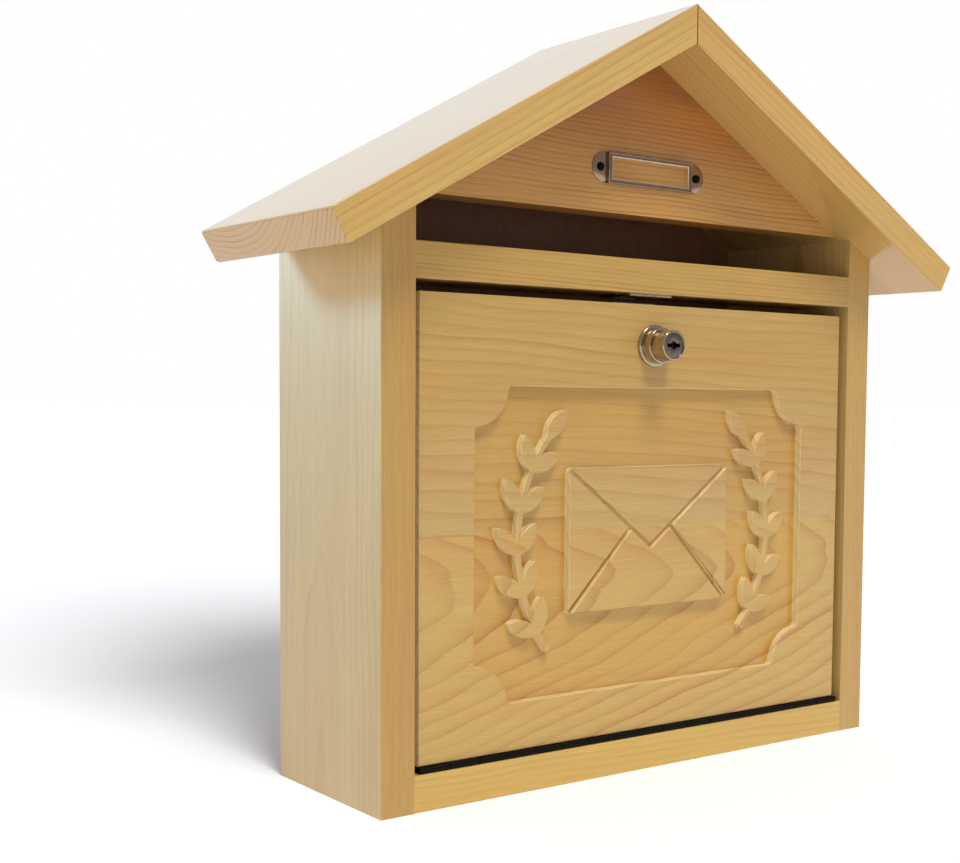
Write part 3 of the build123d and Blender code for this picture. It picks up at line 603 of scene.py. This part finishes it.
def plug_mesh(name, centre, low, high, edge):
    """Plug: rings from its tail over its outside and face, and down the keyway, whose outline
    is the larger of a slot and a round dimple in each direction."""
    half_width, half_height, dimple = 4.8 * MM, 1.1 * MM, 2.3 * MM
    dimple_depth, key_depth = 3.0 * MM, 16.0 * MM
    head, stem, head_length = (high.x - low.x) / 2, 6.5 * MM, 3.0 * MM
    tail, tail_length = 2.5 * MM, 2.0 * MM
    marks = np.array([0, np.arctan2(half_height, half_width), np.arcsin(half_height / dimple)])
    quarter = np.concatenate((np.linspace(marks[0], marks[1], 5)[:-1],
                              np.linspace(marks[1], marks[2], 5)[:-1],
                              np.linspace(marks[2], np.pi / 2, 12)))
    half = np.concatenate((quarter, np.pi - quarter[-2::-1]))
    angle = np.concatenate((half, np.pi + half[1:-1]))
    slot = slot_radius(angle, half_width, half_height)
    hole = np.maximum(slot, dimple)
    face, shoulder, seat = low.y, low.y + head_length, high.y - tail_length
    rows = [
        (high.y, 0.88 * tail), (high.y, tail), (seat, tail), (seat, stem), (shoulder, stem),
        (shoulder, head), (face + edge, head), (face + 0.3 * edge, head - 0.3 * edge),
        (face, head - edge), (face, hole + 0.7 * edge), (face + 0.15 * edge, hole + 0.2 * edge),
        (face + 0.7 * edge, hole), (face + dimple_depth, hole), (face + dimple_depth, slot),
        (face + key_depth, slot), (face + key_depth, 0.3 * slot),
    ]
    return skin(name, stations(angle, centre, rows), closed=False)


def copied(name, node, plain=None, crease=40.0):
    """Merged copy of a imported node, its flat faces joined and its creases above an angle in
    degrees given a bevel weight, apart from those whose middle plain says are to stay sharp."""
    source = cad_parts[node].data
    points = np.empty(len(source.vertices) * 3, np.float32)
    source.vertices.foreach_get("co", points)
    corners = np.empty(len(source.loops), np.int32)
    source.loops.foreach_get("vertex_index", corners)
    mesh = bpy.data.meshes.new(name)
    mesh.from_pydata(points.reshape(-1, 3).tolist(), [], corners.reshape(-1, 3).tolist())
    work = bmesh.new()
    work.from_mesh(mesh)
    bmesh.ops.remove_doubles(work, verts=work.verts, dist=1e-6)
    bmesh.ops.dissolve_limit(work, angle_limit=radians(0.5), verts=work.verts, edges=work.edges)
    weight = work.edges.layers.float.new("bevel_weight_edge")
    for edge in work.edges:
        middle = (edge.verts[0].co + edge.verts[1].co) / 2
        sharp = edge.calc_face_angle(0.0) > radians(crease)
        edge[weight] = float(sharp and not (plain and plain(middle)))
    work.to_mesh(mesh)
    work.free()
    smooth(mesh)
    return mesh


def soften(piece, width):
    """Bevel on the weighted creases of a copied piece."""
    bevel = piece.modifiers.new("Soft edges", "BEVEL")
    bevel.limit_method = "WEIGHT"
    bevel.width = width
    bevel.segments = 2
    bevel.use_clamp_overlap = False
    bevel.harden_normals = True


def rounder(mesh, normal, along, level, rear, old, new):
    """Larger rounding along the rear arris of a sloping board, of which normal points out of
    the face at a level and along points down the slope to the eave.

    The outline turns from the face into the eave end by an arc of radius new. With a for the
    distance from the rear and d for the depth under the outline, the points with a and d
    below the old radius go to new/old times a and d, d square to the outline, or upright
    beside the ridge, where the boards meet."""
    points = np.empty(len(mesh.vertices) * 3)
    mesh.vertices.foreach_get("co", points)
    points = points.reshape(-1, 3)
    reach = points @ along
    depth = level - points @ normal
    arc = np.stack((new - (reach.max() - reach), new - depth), axis=1)
    arc = np.maximum(arc, 0)
    radius = np.linalg.norm(arc, axis=1, keepdims=True)
    inside, inward = new - radius, rear - points[:, 1:2]
    zone = 1.01 * old  # a little over the old radius, so that its own edge counts
    near = (inside[:, 0] < zone) & (inward[:, 0] < zone)
    outward = (arc @ np.stack((along, normal))) / np.maximum(radius, TINY)
    beside_ridge = np.abs(points[:, :1]) < 20 * MM
    outward = np.where(beside_ridge, np.array((0, 0, 1)) / normal[2], outward)
    shift = inside * outward + inward * np.array((0, 1, 0))
    points[near] -= (new / old - 1) * shift[near]
    mesh.vertices.foreach_set("co", points.ravel())


def dress(node, material):
    """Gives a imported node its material."""
    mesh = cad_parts[node].data
    mesh.materials.clear()
    mesh.materials.append(material)


# Slope of the roof, and turns that lay X along the grain

PITCH = radians(30)
ALONG_X = (0.0, 0.0, 0.0)
UPRIGHT = (0.0, radians(-90), 0.0)
DOWN_RIGHT = (0.0, PITCH, 0.0)
DOWN_LEFT = (0.0, -PITCH, 0.0)

# Operators


class MAILBOX_OT_case_boards(bpy.types.Operator):
    """Pine for the side panels, bottom board, middle rail, gable, roof and door stops"""

    bl_idname = "mailbox.case_boards"
    bl_label = "Case boards"

    def execute(self, context):
        wood = context.scene.mailbox_wood
        gable_low, gable_high = (corner.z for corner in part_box("gable_panel"))
        boards = {
            # The side panels' broad faces take the face colour, a painted sheen.
            "side_panel_left": dict(grain=UPRIGHT, heart=(-118, 8, 0), ring=3.8, wave=5.0,
                                    line=0.4, bands=0.25, seed=1.0, early=paint("ba9249"),
                                    face=(0, wood.face), lacquer=wood.side_lacquer),
            "side_panel_right": dict(grain=UPRIGHT, heart=(122, -12, 0), ring=3.2, wave=4.0,
                                     line=0.6, bands=0.2, seed=2.0, face=(0, wood.face),
                                     lacquer=wood.side_lacquer),
            "bottom_board": dict(grain=ALONG_X, heart=(0, 20, -45), ring=2.4, taper=0.02,
                                 wave=3.0, line=0.8, bands=0.1, seed=3.0, early=paint("cca74d")),
            "middle_rail": dict(grain=ALONG_X, heart=(0, -10, 215), ring=2.1, wave=2.5, line=0.9,
                                bands=0.5, seed=4.0, late=paint("9c5c24")),
            # Painted shade: the gable's early wood darkens towards the apex, under the roof.
            "gable_panel": dict(grain=ALONG_X, heart=(0, -5, 230), ring=2.7, taper=0.008,
                                wave=4.5, line=1.1, bands=0.9, seed=5.0,
                                early=paint("c4924a"), late=paint("8f4c12"),
                                painted_shade=(gable_low, gable_high, paint("8e4e0c"))),
            # The roof boards' upper faces take a greyer colour, a painted sheen.
            "roof_board_left": dict(grain=DOWN_LEFT, heart=(-274, 24, 389), ring=3.2, wave=1.6,
                                    line=0.6, bands=0.15, seed=6.0, early=paint("cea95f"),
                                    face=(2, wood.roof_wood_and_sheen), mitred=True),
            "roof_board_right": dict(grain=DOWN_RIGHT, heart=(274, 30, 389), ring=3.0, wave=2.0,
                                     line=0.55, bands=0.2, seed=7.0, early=paint("cfa65e"),
                                     face=(2, wood.roof_wood_and_sheen), mitred=True),
            "door_stop_left": dict(grain=UPRIGHT, heart=(-140, -60, 0), seed=8.0),
            "door_stop_right": dict(grain=UPRIGHT, heart=(140, -60, 0), seed=9.0),
        }
        for node, figure in boards.items():
            material = pine("pine " + node.replace("_", " "), wood, **figure)
            if not node.startswith("roof"):
                dress(node, material)
                continue
            mesh = copied("finished_" + node, node)
            low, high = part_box(node)
            side = np.sign(low.x + high.x)
            normal = np.array((side * np.sin(PITCH), 0, np.cos(PITCH)))
            along = np.array((side * np.cos(PITCH), 0, -np.sin(PITCH)))
            # The gable's tip lies where the two soffits meet.
            top, soffit = high.z * np.cos(PITCH), gable_high * np.cos(PITCH)
            for facing, level in ((normal, top), (-normal, -soffit)):
                rounder(mesh, facing, along, level, high.y, wood.arris, wood.roof_edge)
            piece = new_piece("finished_" + node, mesh, material, "case", "pine", node)
            piece.modifiers.new("Even shading", "WEIGHTED_NORMAL").keep_sharp = True
        return {"FINISHED"}


class MAILBOX_OT_door_boards(bpy.types.Operator):
    """Door boards with softened carving and a pine figure of their own"""

    bl_idname = "mailbox.door_boards"
    bl_label = "Door boards"

    def execute(self, context):
        wood = context.scene.mailbox_wood
        low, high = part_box("door_board_lower")
        deepest = (low.y + high.y) / 2
        near = 0.1 * MM

        def plain(middle):
            """Whether an edge lies in the glued seam or on the door's rear half."""
            return abs(middle.z - high.z) < near or middle.y > deepest

        boards = {
            "door_board_upper": dict(heart=(0, 0, 125), ring=6.0, taper=0.04, wave=6.0,
                                     feather=0.4, line=0.75, bands=0.2, seed=11.0,
                                     face=(1, paint("c09c56"))),
            "door_board_lower": dict(heart=(0, 4, 115), ring=7.0, taper=0.2, wave=7.0,
                                     feather=0.8, line=0.85, bands=0.15, seed=12.0,
                                     face=(1, paint("c6a052")), late=paint("ac6c18")),
        }
        # Planed down to 1 mm under the face, routed from 4 mm, and planed again at the back
        cut = (low.y + 1.0 * MM, low.y + 4.0 * MM, deepest)
        for node, figure in boards.items():
            mesh = copied("finished_" + node, node, plain)
            # The carved walls and edges take the wall colours: paler cut wood and a painted
            # highlight.
            material = pine("pine " + node.replace("_", " "), wood, ALONG_X, **figure,
                            early=wood.wall_tone_and_highlight, end=wood.wall_tone_and_highlight, cut=cut)
            piece = new_piece("finished_" + node, mesh, material, "door", "pine", node)
            soften(piece, wood.carved_edge)
        return {"FINISHED"}


class MAILBOX_OT_back_panel(bpy.types.Operator):
    """Plywood for the back panel and beech for the dowels"""

    bl_idname = "mailbox.back_panel"
    bl_label = "Back panel and dowels"

    def execute(self, context):
        wood = context.scene.mailbox_wood
        dress("back_panel", plywood(wood))
        pegs = beech(wood)
        for place in ("bottom", "rail", "roof", "ridge", "gable", "door"):
            dress(place + "_dowels", pegs)
        return {"FINISHED"}


class MAILBOX_OT_hinge(bpy.types.Operator):
    """Black steel for the hinge, its pin and its screws"""

    bl_idname = "mailbox.hinge"
    bl_label = "Hinge"

    def execute(self, context):
        fittings = context.scene.mailbox_metal
        black = metal("black steel", fittings.black, 0.5, grime=-0.6, metallic=0.0, ior=1.2)
        for node in ("hinge_leaf_lower", "hinge_leaf_upper", "hinge_pin", "hinge_screws_lower",
                     "hinge_screws_upper"):
            dress(node, black)
        return {"FINISHED"}


class MAILBOX_OT_lock(bpy.types.Operator):
    """Lock: turned rosette, collar, cylinder and plug, with plain steel behind the door"""

    bl_idname = "mailbox.lock"
    bl_label = "Lock"

    def execute(self, context):
        fittings = context.scene.mailbox_metal
        nickel = metal("nickel lock", fittings.nickel, 0.16)
        face = metal("nickel plug", fittings.plug, 0.3, grime=0.35, scratch=0.3)
        low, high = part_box("lock_plug")
        centre = (low + high) / 2
        centre.z = sum(corner.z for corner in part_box("lock_rosette")) / 2
        room, hidden = 0.05 * MM, 0.02 * MM
        rings = (
            ("lock_rosette", "lock_cylinder", 1.1 * MM, 0.3 * MM),
            ("lock_collar", "lock_cylinder", 0.6 * MM, 0.3 * MM),
            ("lock_cylinder", "lock_plug", 0.55 * MM, 0.2 * MM),
        )
        for node, core, outer_edge, inner_edge in rings:
            front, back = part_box(node)
            core_left, core_right = (corner.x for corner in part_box(core))
            outer, inner = (back.x - front.x) / 2, (core_right - core_left) / 2 + room
            corners = [(inner, back.y), (outer, back.y), (outer, front.y), (inner, front.y)]
            outline = rounded(corners, (hidden, hidden, outer_edge, inner_edge))
            mesh = turned("turned_" + node, outline, centre)
            new_piece("turned_" + node, mesh, nickel, "door", "nickel", node)
        mesh = plug_mesh("keyed_lock_plug", centre, low, high, 0.35 * MM)
        new_piece("keyed_lock_plug", mesh, face, "plug", "nickel", "lock_plug")

        steel = metal("zinc steel", fittings.steel, 0.34)
        for node in ("lock_cover", "lock_rivets", "lock_screws", "lock_driver", "lock_bolt"):
            dress(node, steel)
        mesh = copied("pressed_lock_case", "lock_case")
        case = new_piece("pressed_lock_case", mesh, steel, "door", "zinc_steel", "lock_case")
        soften(case, fittings.edge)
        dress("lock_wafers", metal("brass", fittings.brass, 0.28))
        return {"FINISHED"}


class MAILBOX_OT_strike(bpy.types.Operator):
    """Nickel for the strike plate and its screws"""

    bl_idname = "mailbox.strike"
    bl_label = "Strike plate"

    def execute(self, context):
        fittings = context.scene.mailbox_metal
        nickel = metal("nickel strike", fittings.nickel, 0.26)
        dress("strike_screws", nickel)
        mesh = copied("pressed_strike_plate", "strike_plate")
        plate = new_piece("pressed_strike_plate", mesh, nickel, "case", "nickel", "strike_plate")
        soften(plate, fittings.edge)
        return {"FINISHED"}


class MAILBOX_OT_card_holder(bpy.types.Operator):
    """Card holder: a thin strip with round ends, a raised frame and two domed nails"""

    bl_idname = "mailbox.card_holder"
    bl_label = "Card holder"

    def execute(self, context):
        fittings = context.scene.mailbox_metal
        # The holder's nickel carries a pinkish-brown tint, a painted reflection of the wood.
        nickel = metal("nickel holder", fittings.holder, 0.16, grime=0.1, scratch=0.04)
        low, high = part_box("label_holder")
        centre = (low + high) / 2
        half_length, half_height = (high.x - low.x) / 2, (high.z - low.z) / 2
        tab, bar, end_bar, sheet = 10.4 * MM, 2.7 * MM, 3.0 * MM, 0.6 * MM
        rise = high.y - low.y + 0.6 * MM

        ridge, groove = 0.3 * bar, 0.42 * bar
        lip_rise, floor_rise = 0.92 * rise, 0.7 * rise
        profile = rounded(
            [(0, 0), (0, rise), (ridge, rise), (groove, floor_rise), (bar - groove, floor_rise),
             (bar - ridge, lip_rise), (bar, lip_rise), (bar, 0)],
            np.array((0.02, 0.35, 0.3, 0.15, 0.15, 0.25, 0.3, 0.02)) * MM,
        )
        signs = np.array([(-1, -1), (1, -1), (1, 1), (-1, 1)])
        inward = profile[:, :1]
        x = centre.x + signs[:, 0] * (half_length - tab - inward * end_bar / bar)
        z = centre.z + signs[:, 1] * (half_height - inward)
        y = np.broadcast_to(high.y - profile[:, 1:], x.shape)
        mesh = skin("raised_label_frame", np.stack((x, y, z), axis=-1))
        new_piece("raised_label_frame", mesh, nickel, "case", "nickel", "label_holder")
        # Painted highlight: the inner lip faces take the near-white bright lip metal.
        mesh.materials.append(metal("bright lip", fittings.lip, 0.3, grime=0.1, scratch=0.04))
        lip = np.repeat(profile[:, 0] > bar - 0.6 * ridge, len(signs))
        mesh.polygons.foreach_set("material_index", lip.astype(np.int32))

        angle = np.linspace(0, 2 * np.pi, 256, endpoint=False)
        across, up = np.abs(np.cos(angle)), np.abs(np.sin(angle))
        straight = half_height / np.maximum(up, TINY)
        reach = half_length - half_height
        round_end = reach * across + np.sqrt(np.maximum(half_height**2 - (reach * up) ** 2, 0))
        outer = np.where(straight * across < reach, straight, round_end)
        under, soft = 0.8 * MM, 0.2 * MM
        window = slot_radius(angle, half_length - tab - end_bar + under,
                             half_height - bar + under)
        seat = high.y - sheet
        rows = [
            (high.y, window), (high.y, outer), (seat + soft, outer),
            (seat + 0.3 * soft, outer - 0.3 * soft), (seat, outer - soft), (seat, window),
        ]
        mesh = skin("label_strip", stations(angle, centre, rows))
        new_piece("label_strip", mesh, nickel, "case", "nickel", "label_holder")

        black = metal("black nails", fittings.black, 0.6, grime=-0.5, metallic=0.0, ior=1.2)
        first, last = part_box("label_holder_nails")
        head, dome, shank = 2.5 * MM, 2.1 * MM, 0.8 * MM
        inset = (last.z - first.z) / 2
        rows = [(last.y, shank), (seat, shank)]
        for climb in np.linspace(0, radians(86.4), 9):
            rows.append((seat - dome * np.sin(climb), head * np.cos(climb)))
        for label, x in (("left", first.x + inset), ("right", last.x - inset)):
            name, middle = "domed_nail_" + label, Vector((x, 0, centre.z))
            mesh = skin(name, stations(angle[::4], middle, rows), closed=False)
            new_piece(name, mesh, black, "case", "black_steel", "label_holder_nails")
        return {"FINISHED"}


class MAILBOX_OT_screws(bpy.types.Operator):
    """Zinc steel for the screws of the back panel and the pins of the door stops"""

    bl_idname = "mailbox.screws"
    bl_label = "Screws and pins"

    def execute(self, context):
        fittings = context.scene.mailbox_metal
        zinc = metal("zinc screws", fittings.steel, 0.3)
        for node in ("back_panel_screws", "door_stop_pins"):
            dress(node, zinc)
        return {"FINISHED"}


class MAILBOX_OT_studio(bpy.types.Operator):
    """White floor that keeps the shadow, white surroundings, three lamps and the camera"""

    bl_idname = "mailbox.studio"
    bl_label = "Studio"

    def execute(self, context):
        scene = context.scene
        studio = scene.mailbox_studio
        scene.view_settings.view_transform = "Standard"

        reach = 30.0
        mesh = bpy.data.meshes.new("floor")
        corners = [(-reach, -reach, 0), (reach, -reach, 0), (reach, reach, 0), (-reach, reach, 0)]
        mesh.from_pydata(corners, [], [(0, 1, 2, 3)])
        floor = placed("floor", mesh)
        material = bpy.data.materials.new("white floor")
        mesh.materials.append(material)
        w = emptied(material)
        lit = w.add("BsdfDiffuse", {"Color": (*studio.floor_gain, 1.0)}).outputs[0]
        w.add("OutputMaterial", {"Surface": lit})

        world = bpy.data.worlds.new("white surroundings")
        scene.world = world
        w = emptied(world)
        depth = w.split(w.add("TexCoord").outputs["Generated"])[1]
        mirrored = w.step(depth, -0.5, 0.1, studio.front_share, 1.0)
        strength = w.math("MAXIMUM", mirrored, w.add("LightPath").outputs["Is Camera Ray"])
        light, white = (
            w.add("Background", {"Color": (1.0, 1.0, 1.0, 1.0), "Strength": power}).outputs[0]
            for power in (studio.daylight, strength)
        )
        both = w.add("MixShader", {0: seen(w), 1: light, 2: white}).outputs[0]
        w.add("OutputWorld", {"Surface": both})

        linked = bpy.data.collections.new("floor alone")
        unlinked = bpy.data.collections.new("all but the floor")
        sides = bpy.data.collections.new("side panels alone")
        for node in ("side_panel_left", "side_panel_right"):
            sides.objects.link(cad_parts[node])
        for group, state in ((linked, "INCLUDE"), (unlinked, "EXCLUDE")):
            group.objects.link(floor)
            group.collection_objects[0].light_linking.link_state = state
        for label, receivers in (("key", unlinked), ("floor", linked)):
            strength, height, spread = (
                getattr(studio, label + part) for part in ("_strength", "_height", "_spread")
            )
            light = bpy.data.lights.new(label + " lamp", "SUN")
            light.energy, light.angle = strength, spread
            lamp = placed(label + " lamp", light)
            lamp.rotation_euler = (radians(90) - height, 0.0, -studio.lamp_turn)
            lamp.light_linking.receiver_collection = receivers

        middle = (Vector(cad_box[0]) + Vector(cad_box[1])) / 2
        light = bpy.data.lights.new("side lamp", "AREA")
        light.shape, light.energy = "SQUARE", studio.side_power
        light.size, light.color = studio.side_size, studio.side_colour
        lamp = placed("side lamp", light)
        lamp.visible_camera = lamp.visible_diffuse = False
        lamp.location = studio.side_place
        lamp.rotation_euler = (middle - lamp.location).to_track_quat("-Z", "Y").to_euler()
        lamp.light_linking.receiver_collection = sides

        lens = bpy.data.cameras.new("camera")
        lens.lens = studio.lens
        lens.shift_x, lens.shift_y = studio.shift
        camera = placed("camera", lens)
        level = Matrix.Rotation(radians(90), 4, "X")
        camera.matrix_world = (
            Matrix.Translation(studio.eye)
            @ Matrix.Rotation(-studio.heading, 4, "Z")
            @ Matrix.Rotation(-studio.dip, 4, "X")
            @ level
            @ Matrix.Rotation(studio.roll, 4, "Z")
        )
        scene.camera = camera
        return {"FINISHED"}


class MAILBOX_PT_finish(bpy.types.Panel):
    """Sizes, colours and steps of the mailbox"""

    bl_idname = "MAILBOX_PT_finish"
    bl_label = "Wooden mailbox"
    bl_space_type = "VIEW_3D"
    bl_region_type = "UI"
    bl_category = "Mailbox"

    def draw(self, context):
        layout = self.layout
        for label in GROUPS:
            settings = getattr(context.scene, label)
            box = layout.box()
            for key in settings.__annotations__:
                box.prop(settings, key)
        for step in STEPS:
            layout.operator(step.bl_idname)


STEPS = (
    MAILBOX_OT_case_boards,
    MAILBOX_OT_door_boards,
    MAILBOX_OT_back_panel,
    MAILBOX_OT_hinge,
    MAILBOX_OT_lock,
    MAILBOX_OT_strike,
    MAILBOX_OT_card_holder,
    MAILBOX_OT_screws,
    MAILBOX_OT_studio,
)
GROUPS = {
    "mailbox_wood": MailboxWood,
    "mailbox_metal": MailboxMetal,
    "mailbox_studio": MailboxStudio,
}


def register():
    """Registers the classes and puts their settings on the scene."""
    for group in GROUPS.values():
        bpy.utils.register_class(group)
    for label, group in GROUPS.items():
        setattr(bpy.types.Scene, label, bpy.props.PointerProperty(type=group))
    for kind in (*STEPS, MAILBOX_PT_finish):
        bpy.utils.register_class(kind)


def unregister():
    """Takes the settings and the classes away again."""
    for kind in (MAILBOX_PT_finish, *reversed(STEPS)):
        bpy.utils.unregister_class(kind)
    for label, group in GROUPS.items():
        delattr(bpy.types.Scene, label)
        bpy.utils.unregister_class(group)


def main():
    """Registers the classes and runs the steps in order."""
    register()
    for step in STEPS:
        group, call = step.bl_idname.split(".")
        getattr(getattr(bpy.ops, group), call)()


if __name__ == "__main__":
    main()
